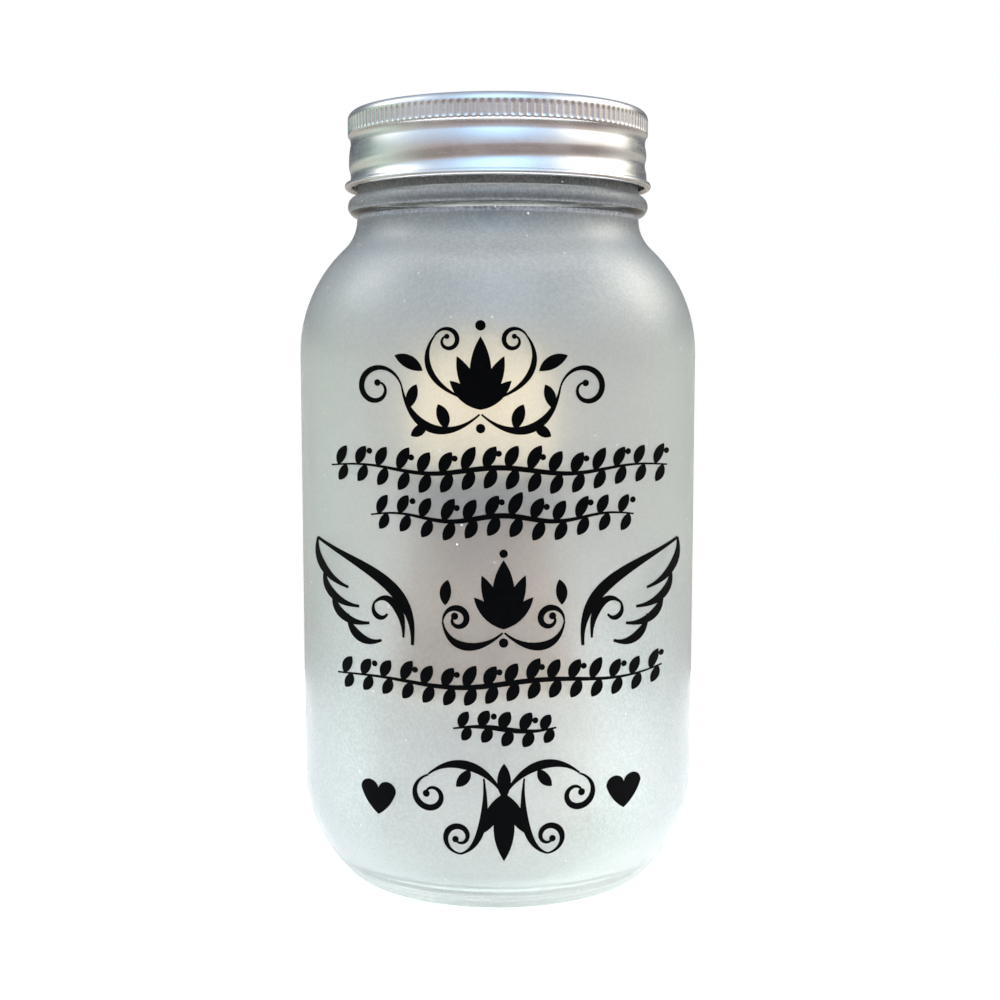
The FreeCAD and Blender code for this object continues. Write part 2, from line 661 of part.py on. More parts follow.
def wires():
    """The red wire runs from the holder's roof, the black one from the switch, to the board."""
    roof, board = number("holder_top"), number("board_foot")
    wire("led_wire_red", [(6, 3, roof), (6, 3, roof + 8), (1.8, 2, roof + 17),
                          (2.2, 2.4, board)])
    switch_x = number("switch_path")
    switch_z = number("plate_foot + plate_sheet") + 5
    beside = number("holder_radius") + 1.0
    wire("led_wire_black", [(switch_x, -3, switch_z), (switch_x, -3, switch_z + 8),
                            (beside, 0, 34), (beside, 0, 61), (4, -2.4, 71),
                            (-1.8, -2, 79), (-2.2, -2.4, board)])


# ---------------------------------------------------------------- the printed ornaments

def blend(low, high, t):
    return low + (high - low) * t


def spline(points):
    curve = Part.BSplineCurve()
    curve.interpolate([FreeCAD.Vector(x, 0, z) for x, z in points])
    return curve.toShape()


def ribbon(path, width, count=14):
    """A flat pen stroke: path(t) is its middle line and width(t) its full width, t from 0 to 1."""
    left, right = [], []
    step = 1e-4
    for index in range(count + 1):
        t = index / count
        (x, z), (ahead_x, ahead_z) = path(t), path(t + step)
        length = math.hypot(ahead_x - x, ahead_z - z)
        across_x, across_z = -(ahead_z - z) / length, (ahead_x - x) / length
        half = width(t) / 2
        left.append((x + across_x * half, z + across_z * half))
        right.append((x - across_x * half, z - across_z * half))
    cap = Part.LineSegment(FreeCAD.Vector(left[-1][0], 0, left[-1][1]),
                           FreeCAD.Vector(right[-1][0], 0, right[-1][1])).toShape()
    foot = Part.LineSegment(FreeCAD.Vector(right[0][0], 0, right[0][1]),
                            FreeCAD.Vector(left[0][0], 0, left[0][1])).toShape()
    return Part.Face(Part.Wire([spline(left), cap, spline(right[::-1]), foot]))


def swell(thin, thick, centre=0.5):
    """A pen width that is thin at both ends and thick at the given place along the stroke."""
    def width(t):
        place = 0.5 * t / centre if t < centre else 0.5 + 0.5 * (t - centre) / (1 - centre)
        return thin + (thick - thin) * math.sin(math.pi * place) ** 1.6
    return width


def curl(x, z, outer, inner, start, sweep, thin=0.35, thick=1.3, centre=0.35):
    """A spiral stroke round (x, z) that ends in a round drop, angles in degrees."""
    def path(t):
        radius = blend(outer, inner, t ** 0.8)
        angle = math.radians(start + sweep * t)
        return x + radius * math.cos(angle), z + radius * math.sin(angle)
    count = max(10, int(abs(sweep) / 24))
    end_x, end_z = path(1)
    return [ribbon(path, swell(thin, thick, centre), count), dot(end_x, end_z, thick * 0.55)]


def bow(start, lean, back, end, thin=0.35, thick=1.6, centre=0.5, count=12):
    """A smooth stroke from start to end, pulled towards two handles."""
    def path(t):
        s = 1 - t
        weights = (s ** 3, 3 * s * s * t, 3 * s * t * t, t ** 3)
        points = (start, lean, back, end)
        return tuple(sum(w * p[axis] for w, p in zip(weights, points)) for axis in (0, 1))
    return [ribbon(path, swell(thin, thick, centre), count)]


def dot(x, z, radius):
    circle = Part.makeCircle(radius, FreeCAD.Vector(x, 0, z), FreeCAD.Vector(0, -1, 0))
    return Part.Face(Part.Wire(circle))


def leaf(x, z, length, width, degrees, belly=0.5):
    """A pointed leaf that grows from (x, z), fuller towards one side."""
    angle = math.radians(degrees)
    along_x, along_z = math.cos(angle), math.sin(angle)

    def place(forward, side):
        return FreeCAD.Vector(x + forward * along_x - side * along_z, 0,
                              z + forward * along_z + side * along_x)
    root, tip = place(0, 0), place(length, 0)
    full = Part.Arc(root, place(length * 0.5, width * belly), tip).toShape()
    flat = Part.Arc(tip, place(length * 0.5, -width * (1 - belly)), root).toShape()
    return Part.Face(Part.Wire([full, flat]))


def heart(x, z, width):
    """A plain heart from four arcs."""
    def place(across, up):
        return FreeCAD.Vector(x + across * width, 0, z + up * width)
    edges = []
    for side in (1, -1):
        notch, side_point, tip = place(0, 0.24), place(side * 0.5, 0.17), place(0, -0.5)
        lobe = Part.Arc(notch, place(side * 0.28, 0.44), side_point)
        flank = Part.Arc(side_point, place(side * 0.34, -0.16), tip)
        edges.append([lobe.toShape(), flank.toShape()])
    right, left = edges
    return Part.Face(Part.Wire([right[0], right[1], left[1], left[0]]))


def vine(low_x, high_x, low_z, high_z, count, rise=0.0, waves=2.5):
    """A wavy stem with slanted leaves above and below it and a bud beside every second leaf."""
    middle, height = (low_z + high_z) / 2, high_z - low_z

    def stem(t):
        return (blend(low_x, high_x, t),
                middle + rise * (t - 0.5) + 0.07 * height * math.sin(2 * math.pi * waves * t))
    faces = [ribbon(stem, swell(0.35, 1.15), count * 2)]
    length = height * 0.53
    for index in range(count):
        t = (index + 0.35) / count
        ease = 0.82 + 0.18 * math.sin(math.pi * t)
        x, z = stem(t)
        tall = 1.0 if index % 3 else 1.12
        faces.append(leaf(x, z - 0.1, length * ease * tall, 2.7 * ease, 64, 0.62))
        x, z = stem(min(t + 0.42 / count, 1))
        faces.append(leaf(x, z + 0.1, length * ease * 0.94, 2.6 * ease, 244, 0.62))
        if index % 2:
            faces.append(dot(x + 0.9, z + height * 0.3, 0.66))
    return faces


def wing(side):
    """A plain bird's wing of long feathers under a swept arm, the tip up and outwards."""
    def at(across, up):
        return side * across, up
    faces = []
    faces += bow(at(18.6, 62.0), at(17.4, 75.5), at(30, 78.5), at(41.3, 83.2), 0.7, 2.7, 0.4)
    faces += bow(at(41.3, 83.2), at(42.6, 78), at(38.5, 74.2), at(33.4, 73.2), 0.6, 2.1, 0.45)
    faces += bow(at(39.4, 76.6), at(40.4, 71.6), at(36, 69.0), at(30.8, 69.3), 0.6, 2.1, 0.45)
    faces += bow(at(37.2, 71.6), at(37.6, 67.2), at(33.4, 64.8), at(28.4, 65.9), 0.6, 2.1, 0.45)
    faces += bow(at(33.6, 67.2), at(33.2, 62.8), at(29.2, 60.6), at(25.6, 62.4), 0.6, 2.1, 0.45)
    faces += bow(at(20.6, 63.5), at(20.2, 70.6), at(24.4, 73.8), at(27.2, 70.6), 0.5, 1.9, 0.4)
    faces += bow(at(27.2, 70.6), at(28.4, 68.0), at(25.4, 66.2), at(24.2, 68.4), 0.5, 1.2, 0.5)
    return faces


class Mirror:
    """Draws strokes, curls and leaves on one side of an upright axis."""

    def __init__(self, axis, side):
        self.axis, self.side = axis, side
        self.faces = []

    def at(self, across, up):
        return self.axis + self.side * across, up

    def turn(self, degrees):
        return degrees if self.side > 0 else 180 - degrees

    def bow(self, *points, thin=0.4, thick=1.6, centre=0.5):
        self.faces += bow(*(self.at(*point) for point in points), thin, thick, centre)

    def curl(self, across, up, outer, inner, start, sweep, thin=0.4, thick=1.3):
        x, z = self.at(across, up)
        self.faces += curl(x, z, outer, inner, self.turn(start), self.side * sweep, thin, thick,
                           0.3)

    def leaf(self, across, up, length, width, degrees, belly=0.5):
        x, z = self.at(across, up)
        belly = belly if self.side > 0 else 1 - belly
        self.faces.append(leaf(x, z, length, width, self.turn(degrees), belly))


def spray(x, z, petals):
    """A fan of petals from one point, each given as angle, length and width, with its twin."""
    faces = []
    for degrees, length, width in petals:
        faces.append(leaf(x, z, length, width, degrees))
        if degrees % 180 != 90:
            faces.append(leaf(x, z, length, width, 180 - degrees))
    return faces


def title_scroll():
    """Wide flourish: an open flower between two large curls, with leaves on their stems."""
    axis = -3.6
    faces = spray(axis, 113.4, [(90, 15.5, 4.6), (66, 12.4, 3.5), (43, 9.0, 2.9)])
    faces += [dot(axis, 131.2, 1.1), dot(axis, 109.4, 1.0)]
    for side in (-1, 1):
        pen = Mirror(axis, side)
        pen.bow((0.2, 112.4), (8.0, 105.4), (15.6, 109.8), (17.0, 118.2), thick=1.9)
        pen.curl(22.6, 117.8, 5.6, 1.2, 176, -440, thick=1.3)
        pen.bow((3.0, 115.6), (11.4, 118.4), (13.2, 124.6), (9.8, 129.0), thick=1.3)
        pen.curl(7.0, 128.0, 3.0, 0.9, 20, 420, thick=1.0)
        pen.leaf(7.4, 109.2, 5.6, 2.7, 72, 0.6)
        pen.leaf(11.6, 110.4, 4.4, 2.3, -38, 0.4)
        pen.leaf(15.4, 113.6, 5.4, 2.4, 108, 0.4)
        pen.leaf(12.4, 121.6, 7.0, 2.8, 28, 0.6)
        faces += pen.faces
    return faces


def centre_scroll():
    """Upright flower with a curl on each side, the middle of the print."""
    axis = 1.3
    faces = spray(axis, 66.2, [(90, 15.0, 4.8), (68, 12.6, 3.4), (47, 9.4, 2.8)])
    faces += [dot(axis, 82.6, 0.9), dot(axis, 63.2, 1.0)]
    for side in (-1, 1):
        pen = Mirror(axis, side)
        pen.bow((0.2, 65.4), (5.6, 60.6), (12.2, 61.4), (13.2, 67.6), thick=1.8)
        pen.curl(10.0, 68.2, 3.2, 0.9, -10, 420, thick=1.4)
        pen.leaf(12.6, 71.2, 5.6, 2.5, 96, 0.4)
        faces += pen.faces
    return faces


def bottom_scroll():
    """Low flourish: two arched curls that meet over a hanging drop of leaves."""
    axis = 1.4
    faces = spray(axis, 30.0, [(-90, 15.2, 4.6), (-62, 10.4, 3.1)])
    faces.append(leaf(axis, 28.6, 8.0, 3.0, 90))
    for side in (-1, 1):
        pen = Mirror(axis, side)
        pen.bow((0.2, 29.6), (4.0, 36.6), (11.4, 38.4), (16.6, 33.6), thick=2.0)
        pen.curl(16.0, 29.0, 4.5, 1.1, 82, -430, thick=1.4)
        pen.bow((4.4, 33.2), (3.6, 26.0), (4.6, 17.6), (9.6, 16.2), thick=1.7)
        pen.curl(9.8, 20.0, 3.8, 1.0, -94, 420, thick=1.3)
        pen.leaf(7.4, 35.2, 5.0, 2.4, -52, 0.4)
        faces += pen.faces
    return faces


def printed(name, faces):
    """Flat ornaments carried straight back on to the jar as a thin skin of ink."""
    reach = FreeCAD.Vector(0, -number("body_radius + 5"), 0)
    prisms = [face.extrude(reach) for face in faces]
    solid = prisms[0] if len(prisms) == 1 else prisms[0].multiFuse(prisms[1:]).removeSplitter()
    keep(common(name, ink_shell, feature(name + "_stencil", solid)), name)


def ink_tube():
    outer = cylinder("ink_outer", "body_radius + ink_depth", "shoulder_foot + 12")
    inner = cylinder("ink_inner", "body_radius", "shoulder_foot + 12")
    return cut("ink_tube", outer, inner)


# ---------------------------------------------------------------- build everything

glass_jar()
screw_band()
lid_disc()
lid_gasket()

foot_housing()
bottom_plate()
base_screws()
post_sleeve()
lamp_collar()
globe()
battery_holder()
for cell, upright in enumerate((True, False, True)):
    battery(cell, upright)
contact_springs()
contact_plates()
battery_door()
switch()
circuit_board()
led()
wires()

ink_shell = ink_tube()
printed("print_title_scroll", title_scroll())
printed("print_vine_upper", vine(-37.3, 38.2, 95.3, 105.4, 16))
printed("print_vine_second", vine(-27.8, 30.0, 85.2, 95.0, 12))
printed("print_wing_left", wing(-1))
printed("print_wing_right", wing(1))
printed("print_centre_scroll", centre_scroll())
printed("print_vine_third", vine(-36.3, 37.4, 49.4, 58.8, 16, rise=1.6, waves=2.0))
printed("print_vine_fourth", vine(-9.7, 12.8, 40.2, 48.2, 5, waves=1.0))
printed("print_heart_left", [heart(-26.6, 26.9, 8.1)])
printed("print_heart_right", [heart(28.2, 28.1, 8.1)])
printed("print_bottom_scroll", bottom_scroll())

doc.recompute()

for thing in doc.Objects:
    if "Invalid" in thing.State or "Error" in thing.State:
        raise RuntimeError(f"{thing.Label} failed: {thing.State}")
for thing in nodes:
    if thing.Shape.isNull() or not thing.Shape.isValid():
        raise RuntimeError(f"{thing.Label} has no valid shape")

os.makedirs("parts", exist_ok=True)
for thing in nodes:
    thing.Shape.exportStep(f"parts/{thing.Label}.step")
    print(thing.Label, len(thing.Shape.Solids), round(thing.Shape.Volume, 2))
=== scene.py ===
"""Looks of a frosted mason jar lantern: acid-etched glass, satin screw band, black printed
ornaments, and a small battery lamp glowing inside.  Everything is in metres, in the frame of
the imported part, with +Z up and the printed front facing -Y."""

import math

import bpy
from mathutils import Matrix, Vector


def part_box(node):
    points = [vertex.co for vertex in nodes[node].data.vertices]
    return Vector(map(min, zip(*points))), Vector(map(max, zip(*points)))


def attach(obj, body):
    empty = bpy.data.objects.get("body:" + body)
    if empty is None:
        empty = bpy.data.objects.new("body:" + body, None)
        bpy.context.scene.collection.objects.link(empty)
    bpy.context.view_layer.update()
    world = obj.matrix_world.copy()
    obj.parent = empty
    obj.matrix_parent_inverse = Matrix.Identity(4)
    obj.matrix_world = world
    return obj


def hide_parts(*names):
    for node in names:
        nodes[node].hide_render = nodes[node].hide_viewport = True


MM = 0.001
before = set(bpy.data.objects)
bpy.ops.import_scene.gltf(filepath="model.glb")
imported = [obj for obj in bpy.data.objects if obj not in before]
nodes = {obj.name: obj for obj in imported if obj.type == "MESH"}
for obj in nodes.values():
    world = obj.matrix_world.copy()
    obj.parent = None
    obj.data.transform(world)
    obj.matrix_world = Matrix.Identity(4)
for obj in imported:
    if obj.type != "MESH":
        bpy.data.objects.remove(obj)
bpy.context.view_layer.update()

# ---------------------------------------------------------------- places read from the frame

jar_low, jar_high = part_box("glass_jar")
band_low, band_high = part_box("screw_band")
globe_low, globe_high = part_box("globe")
finish_foot = band_low.z          # the finish is the part of the jar inside the band


# ---------------------------------------------------------------- node trees

class Tree:
    """The node tree of a material or a world, with short ways to add and link nodes."""

    def __init__(self, owner):
        owner.use_nodes = True
        self.tree = owner.node_tree
        self.tree.nodes.clear()

    def feed(self, socket, value):
        if isinstance(value, bpy.types.NodeSocket):
            self.tree.links.new(value, socket)
        elif value is not None:
            socket.default_value = value

    def node(self, kind, inputs=(), **settings):
        made = self.tree.nodes.new("ShaderNode" + kind)
        for name, value in settings.items():
            setattr(made, name, value)
        for key, value in dict(inputs).items():
            self.feed(made.inputs[key], value)
        return made

    def maths(self, operation, a, b=None):
        return self.node("Math", {0: a, 1: b}, operation=operation).outputs[0]

    def vector(self, operation, a, b=None, scale=None):
        made = self.node("VectorMath", {0: a, 1: b}, operation=operation)
        if scale is not None:
            self.feed(made.inputs["Scale"], scale)
        return made.outputs["Value" if operation in ("DOT_PRODUCT", "LENGTH") else "Vector"]

    def place(self, stretch=None):
        """The point on the surface in the part's frame, which moves with the piece."""
        point = self.node("TexCoord").outputs["Object"]
        return point if stretch is None else self.vector("MULTIPLY", point, stretch)

    def split(self, point):
        return self.node("SeparateXYZ", {0: point}).outputs

    def noise(self, scale, detail=2.0, stretch=None, roughness=0.5):
        made = self.node("TexNoise", {"Vector": self.place(stretch), "Scale": scale,
                                      "Detail": detail, "Roughness": roughness})
        return made.outputs[0]

    def fade(self, value, low, high, to_low=0.0, to_high=1.0, smooth=True):
        """The value's way from low to high as a number from to_low to to_high."""
        kind = "SMOOTHSTEP" if smooth else "LINEAR"
        made = self.node("MapRange", {"Value": value, "From Min": low, "From Max": high,
                                      "To Min": to_low, "To Max": to_high},
                         interpolation_type=kind)
        return made.outputs[0]

    def ramp(self, value, stops):
        made = self.node("ValToRGB", {0: value})
        elements = made.color_ramp.elements
        while len(elements) < len(stops):
            elements.new(0.5)
        for element, (at, colour) in zip(elements, stops):
            element.position = at
            element.color = (*colour, 1)
        return made.outputs[0]

    def mix(self, share, a, b):
        """Colour a where share is 0, and colour b where it is 1."""
        made = self.node("Mix", data_type="RGBA")
        self.feed(made.inputs[0], share)
        for socket, colour in ((made.inputs[6], a), (made.inputs[7], b)):
            self.feed(socket, (*colour, 1) if isinstance(colour, tuple) else colour)
        return made.outputs[2]

    def bump(self, height, depth, normal=None):
        """A bump whose full height is depth, in metres."""
        made = self.node("Bump", {"Height": height, "Distance": depth, "Strength": 1.0,
                                  "Normal": normal})
        return made.outputs[0]


def surface(name, **inputs):
    """A material with one Principled shader, and its tree and shader to add nodes to."""
    material = bpy.data.materials.new(name)
    tree = Tree(material)
    sockets = {key.replace("_", " "): value for key, value in inputs.items()}
    shader = tree.node("BsdfPrincipled", sockets)
    output = tree.node("OutputMaterial", {"Surface": shader.outputs[0]})
    return material, tree, shader, output


def wear(node_name, material):
    """Give a CAD node this material alone."""
    slots = nodes[node_name].data.materials
    slots.clear()
    slots.append(material)


# ---------------------------------------------------------------- glass

FROST_TINT = (0.87, 0.89, 0.88, 1)          # what is left of lamplight past each skin of glass
CLEAR_TINT = (0.94, 0.98, 0.96, 1)

HEEL = (4, 24)                                     # heights in mm
# the frost's tint by height, most of it painted shade, each laid over those before it: the
# heights in mm between which its share fades, its share at both, and the tint
TINT_AND_SHADE_BY_HEIGHT = (
    ((118, 150), (0, 1), (0.56, 0.60, 0.62)),      # shoulder and neck: painted shade under the band
    ((150, 160), (0, 1), (0.40, 0.42, 0.46)),      # neck bead: painted shade under the band
    ((161, 164), (0, 1), (0.22, 0.23, 0.26)),      # finish, in the band's shade
    (HEEL, (1, 0), (0.85, 0.88, 0.85)),
    ((0.5, 4.5), (1, 0), (0.70, 0.77, 0.76)),      # foot of the heel: painted contact shade, darker towards the base
)
LOWER_BODY = (35, 95)
# heights in mm of the painted shade low on the body, where the wall turns away
SHADE_BESIDE_FOOT = (50, 85)
CREASE_SHADE_HEIGHTS = ((156.0, 156.8), (158.0, 159.4))          # painted shade in the crease under the bead: it fades in, and fades out
HEEL_LINES = (2.2, 3.6, 5.4)                       # mould lines round the foot of the heel
HEEL_LINE_HALF_WIDTH = 0.35
COAT_ENDS = (150, 156)                             # where the body's soft gloss fades


def let_lamps_through(tree, shader, output, tint):
    """Shadow rays pass the wall tinted, so that lamps light what is inside and behind it."""
    open_wall = tree.node("BsdfTransparent", {"Color": tint})
    is_shadow = tree.node("LightPath").outputs["Is Shadow Ray"]
    both = tree.node("MixShader", {0: is_shadow, 1: shader.outputs[0], 2: open_wall.outputs[0]})
    tree.feed(output.inputs["Surface"], both.outputs[0])


def zone(tree, height, limits, to_low=0, to_high=1):
    """A fade from to_low to to_high, while a height or distance passes between limits in mm."""
    return tree.fade(height, limits[0] * MM, limits[1] * MM, to_low, to_high)


def painted_glints(tree):
    """1 in the few small painted glints, white spots that glow, and 0 between them."""
    cells = tree.node("TexVoronoi", {"Vector": tree.place(), "Scale": 260})
    near = tree.fade(cells.outputs["Distance"], 0.03, 0.085, 1, 0)
    chosen = tree.fade(tree.split(cells.outputs["Color"])[0], 0.40, 0.41)
    return tree.maths("MULTIPLY", near, chosen)


def frost_colour_and_shade(tree, height, clouds, crease_shade):
    """The frost's colour and painted shade: by how the wall turns away, by height, and by its
    clouds.
    """
    facing = tree.node("LayerWeight", {"Blend": 0.5}).outputs["Facing"]
    tint = tree.mix(tree.fade(facing, 0.15, 0.75), (0.85, 0.84, 0.81), (0.77, 0.88, 0.82))
    tint = tree.mix(zone(tree, height, LOWER_BODY, 0.85, 0), tint, (0.81, 0.80, 0.76))
    # painted shade: darker grey-green low on the body, more so where the wall turns away
    painted_shade_beside_foot = tree.maths("MULTIPLY", zone(tree, height, SHADE_BESIDE_FOOT, 1, 0),
                             tree.fade(facing, -0.02, 0.28, 0, 0.9))
    tint = tree.mix(painted_shade_beside_foot, tint, (0.56, 0.62, 0.60))
    for limits, shares, colour in TINT_AND_SHADE_BY_HEIGHT:
        tint = tree.mix(zone(tree, height, limits, *shares), tint, colour)
    for line in HEEL_LINES:
        off = tree.maths("ABSOLUTE", tree.maths("SUBTRACT", height, line * MM))
        share = zone(tree, off, (0.1, HEEL_LINE_HALF_WIDTH), 0.7, 0)
        tint = tree.mix(share, tint, (0.50, 0.56, 0.57))
    # painted shade in the crease under the bead
    tint = tree.mix(crease_shade, tint, (0.24, 0.25, 0.28))
    # a darker green outline where the wall turns edge-on: partly the green of thick glass, partly
    # painted shade
    tint = tree.mix(tree.fade(facing, 0.84, 0.99, 0, 0.6), tint, (0.50, 0.60, 0.57))
    tint = tree.mix(tree.fade(clouds, 0.35, 0.65, 0, 0.18), tint, (0.97, 0.97, 0.96))
    fine = tree.fade(tree.noise(1500, detail=3), 0.38, 0.64, 0, 0.4)
    return tree.mix(fine, tint, (1.0, 1.0, 0.99))


def frosted_glass():
    """The etched outer skin: fine grain, cloudy patches, painted shade and a few painted glints.
    It is roughest on the body, smoother on the heel, and smoothest on the finish under the band."""
    material, tree, shader, output = surface("frosted_glass", IOR=1.46, Coat_Roughness=0.24)
    height = tree.split(tree.place())[2]
    clouds = tree.noise(55, detail=3)
    grain = tree.noise(3200, detail=2)
    glint = painted_glints(tree)
    # painted shade in the crease under the bead, where the wall is also made opaque
    crease_shade = tree.maths("MULTIPLY", zone(tree, height, CREASE_SHADE_HEIGHTS[0]),
                        zone(tree, height, CREASE_SHADE_HEIGHTS[1], 1, 0))
    tint = frost_colour_and_shade(tree, height, clouds, crease_shade)
    # painted glints as white spots over the frost's colour and painted shade
    tree.feed(shader.inputs["Base Color"], tree.mix(glint, tint, (0.96, 0.97, 0.96)))

    finish = tree.fade(height, finish_foot - 1 * MM, finish_foot + 2 * MM)
    heel = zone(tree, height, HEEL, 1, 0)
    rough = tree.fade(clouds, 0.3, 0.7, 0.43, 0.51)
    rough = tree.maths("ADD", rough, tree.fade(grain, 0.2, 0.8, -0.05, 0.05))
    rough = tree.maths("MULTIPLY", rough, tree.fade(finish, 0, 1, 1, 0.45))
    rough = tree.maths("MULTIPLY", rough, tree.fade(heel, 0, 1, 1, 0.7))
    tree.feed(shader.inputs["Roughness"], rough)
    opaque = tree.maths("MAXIMUM", glint, crease_shade)
    tree.feed(shader.inputs["Transmission Weight"], tree.fade(opaque, 0, 1, 0.82, 0.0))
    tree.feed(shader.inputs["Coat Weight"], zone(tree, height, COAT_ENDS, 0.6, 0.15))
    # painted glints: the white specks glow faintly
    tree.feed(shader.inputs["Emission Color"], (0.95, 0.97, 0.95, 1))
    tree.feed(shader.inputs["Emission Strength"], tree.fade(glint, 0, 1, 0, 0.35))
    waves = tree.bump(tree.noise(38, detail=1), 0.15 * MM)
    tree.feed(shader.inputs["Normal"], tree.bump(grain, 0.012 * MM, waves))
    let_lamps_through(tree, shader, output, FROST_TINT)
    return material


def clear_glass():
    """The smooth inner wall, with the slow waves of pressed glass."""
    material, tree, shader, output = surface(
        "clear_glass", Base_Color=CLEAR_TINT, IOR=1.46, Transmission_Weight=1.0)
    tree.feed(shader.inputs["Roughness"], tree.fade(tree.noise(60, detail=3), 0.3, 0.7, 0.02, 0.08))
    tree.feed(shader.inputs["Normal"], tree.bump(tree.noise(45, detail=2), 0.2 * MM))
    let_lamps_through(tree, shader, output, CLEAR_TINT)
    return material


def finish_jar():
    """Frost outside, clear glass inside and on the base inside the bearing ring."""
    jar = nodes["glass_jar"]
    wear("glass_jar", frosted_glass())
    jar.data.materials.append(clear_glass())
    bearing_ring, mouth = 35.8 * MM, 29 * MM      # radii
    for face in jar.data.polygons:
        inward = face.normal.x * face.center.x + face.normal.y * face.center.y < 0
        radius = math.hypot(face.center.x, face.center.y)
        underside = face.normal.z < -0.5 and radius < bearing_ring
        face.material_index = 1 if inward or underside or radius < mouth else 0


# ---------------------------------------------------------------- metals

def satin_metal(name, colour, roughness, grain_depth, streaks=0.0):
    """Rolled sheet metal: cloudy tone, fine grain, and streaks along the circumference."""
    material, tree, shader, _ = surface(name, Metallic=1.0)
    tone = tree.noise(90, detail=4, roughness=0.6)
    dark = tuple(0.88 * part for part in colour)
    tree.feed(shader.inputs["Base Color"], tree.ramp(tone, [(0.3, dark), (0.7, colour)]))
    lines = tree.noise(900, detail=2, stretch=(0.15, 0.15, 1.6))
    rough = tree.fade(tone, 0.25, 0.75, roughness - 0.04, roughness + 0.05)
    rough = tree.maths("ADD", rough, tree.fade(lines, 0.3, 0.7, -streaks, streaks))
    tree.feed(shader.inputs["Roughness"], rough)
    grain = tree.noise(5200, detail=1)
    tree.feed(shader.inputs["Normal"], tree.bump(grain, grain_depth))
    return material


# the screw band's section
SHEET = 0.45 * MM
OPENING, GRIP, WAIST, WALL = (radius * MM for radius in (28.3, 35.72, 35.12, 35.5))
GRIP_FOOT = 176.3 * MM
SHOULDER_ROUND = 1.9 * MM
CURL_ROUND = 0.8 * MM
WALL_FOOT = band_low.z + CURL_ROUND + 0.75 * MM
WALL_TOP = GRIP_FOOT - 2.3 * MM
LEAN, LEAN_LENGTH = 0.42 * MM, 3.6 * MM            # the wall leans in under the waist
FLARE, FLARE_LENGTH = 0.22 * MM, 1.6 * MM          # and flares out at the curl
HEM = 0.22 * MM

# the flutes pressed in its grip, and the groove rolled in its wall for the thread
FLUTES, STEPS_PER_FLUTE, FLUTE_DEPTH = 132, 9, 0.30 * MM
FLUTE_SHARPNESS = 2.2
GROOVE_DEPTH, GROOVE_REACH = 0.42 * MM, 2.5 * MM
GROOVE_FRONT = 168.0 * MM                          # its height at the front
LEAD = 5.6 * MM
RUN_OUT = 0.08                                     # of a turn, over which the groove fades


def wall_radius(height):
    """The threaded wall's outer radius."""
    over = max(0.0, (height - WALL_TOP + LEAN_LENGTH) / LEAN_LENGTH)
    under = max(0.0, (WALL_FOOT + FLARE_LENGTH - height) / FLARE_LENGTH)
    return WALL - LEAN * min(over, 1) ** 2 + FLARE * min(under, 1) ** 2


def wall_rows(start, end, steps, inset=0.0):
    """Rows of the threaded wall from one height to another, inset from its outer face."""
    heights = (start + (end - start) * step / steps for step in range(steps + 1))
    return [(wall_radius(height) - inset, height, 0, 1) for height in heights]


def arc_rows(centre_radius, centre_height, bend, start, sweep, shares):
    """Rows along an arc that starts and sweeps by angles in degrees."""
    angles = [math.radians(start + sweep * share) for share in shares]
    return [(centre_radius + bend * math.cos(angle), centre_height + bend * math.sin(angle), 0, 0)
            for angle in angles]


def waist_rows(steps=8):
    """From the wall's top, in to the waist and out to the grip's foot."""
    low, high = wall_radius(WALL_TOP), GRIP - 0.05 * MM
    rows = []
    for step in range(1, steps):
        share = step / steps
        dip = (low - WAIST + 0.05 * MM) * math.sin(math.pi * share) ** 2
        rows.append((low + (high - low) * share ** 3 - dip,
                     WALL_TOP + (GRIP_FOOT - WALL_TOP) * share, 0, 0))
    return rows


def grip_rows(grip_top, steps=12, end_share=0.16):
    """Up the fluted grip, where each flute is shallower towards its ends."""
    rows = []
    for step in range(steps + 1):
        share = step / steps
        flute = min(1.0, share / end_share, (1 - share) / end_share)
        rows.append((GRIP, GRIP_FOOT + (grip_top - GRIP_FOOT) * share, flute ** 0.6, 0))
    return rows


def band_rows():
    """The screw band's section as rows of radius, height, share of flute and share of groove,
    from the opening's underside down the inside, round the rolled curl and up the outside."""
    top = band_high.z
    curl = (band_high.x - CURL_ROUND, band_low.z + CURL_ROUND)
    grip_top = top - SHOULDER_ROUND
    inside = [(OPENING + 0.25 * MM, top - SHEET), (31 * MM, top - SHEET),
              (GRIP - 1.5 * MM, top - SHEET), (GRIP - 0.95 * MM, top - 1.0 * MM),
              (GRIP - 0.85 * MM, GRIP_FOOT), (WAIST - SHEET, GRIP_FOOT - 1 * MM)]
    hem = [(32.4 * MM, top), (31.6 * MM, top - 0.12 * MM), (30.6 * MM, top - 0.14 * MM),
           (29.6 * MM, top - 0.02 * MM), (OPENING + 1.2 * HEM, top),
           (OPENING + 0.3 * HEM, top - 0.5 * HEM), (OPENING, top - 1.1 * HEM)]
    rows = [(*place, 0, 0) for place in inside]
    rows += wall_rows(WALL_TOP, WALL_FOOT, 12, SHEET)
    rows += arc_rows(*curl, CURL_ROUND, 180, 225, [step / 13 for step in range(14)])
    rows += wall_rows(WALL_FOOT, WALL_TOP, 30)
    rows += waist_rows()
    rows += grip_rows(grip_top)
    rows += arc_rows(GRIP - SHOULDER_ROUND, grip_top, SHOULDER_ROUND, 0, 90,
                     [step / 9 for step in range(1, 10)])
    rows += [(*place, 0, 0) for place in hem]
    return rows


def groove_share(height, turn):
    """How deep the thread's groove is at a height and a turn from the front, from 0 to 1."""
    groove = 0.0
    for lap in (-1, 0, 1):
        off = abs(height - GROOVE_FRONT - LEAD * (turn + lap))
        runs_out = max(0.0, 1 - max(0.0, abs(turn + lap) - 0.5) / RUN_OUT)
        if off < GROOVE_REACH:
            groove = max(groove, runs_out * math.cos(math.pi / 2 * off / GROOVE_REACH) ** 2)
    return groove


